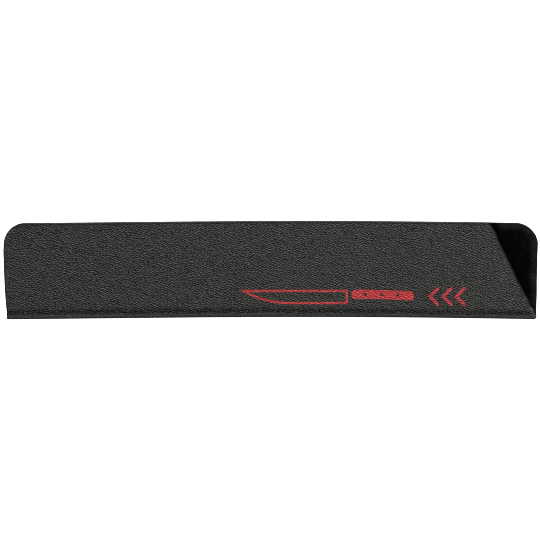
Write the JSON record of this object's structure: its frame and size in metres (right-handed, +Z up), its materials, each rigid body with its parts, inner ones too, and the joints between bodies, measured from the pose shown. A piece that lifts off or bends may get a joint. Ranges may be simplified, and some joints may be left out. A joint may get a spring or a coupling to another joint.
{
  "type": "knife blade guard",
  "caption": "Folded black grained-plastic knife guard with a flock-lined blade slot, a pressed fold along the edge side and a slanted mouth.",
  "frame": {"origin": "middle of the bounding box in plan, on the surface that the guard lies on", "axes": "+X along the blade towards the mouth, +Y from the fold to the open edge, +Z up out of the front leaf"},
  "size_m": [0.215, 0.0395, 0.0046],
  "materials": {
    "grained_sheet": "black plastic sheet, fine leather grain, satin",
    "flock": "black velvet flock"
  },
  "bodies": {
    "back": {"back_leaf": "grained_sheet", "fold_strip": "grained_sheet", "back_shoulder": "grained_sheet", "front_shoulder": "grained_sheet", "back_lining": "flock", "fold_lining": "flock"},
    "front": {"front_leaf": "grained_sheet", "front_lining": "flock"}
  },
  "joints": [
    {"name": "front_leaf_flex", "type": "hinge", "parent": "back", "child": "front", "pos_m": [0, -0.01525, 0.0041], "axis": [1, 0, 0], "range_deg": [-2, 40], "stiffness_Nm_per_rad": 0.3, "springref_deg": 0.32}
  ]
}
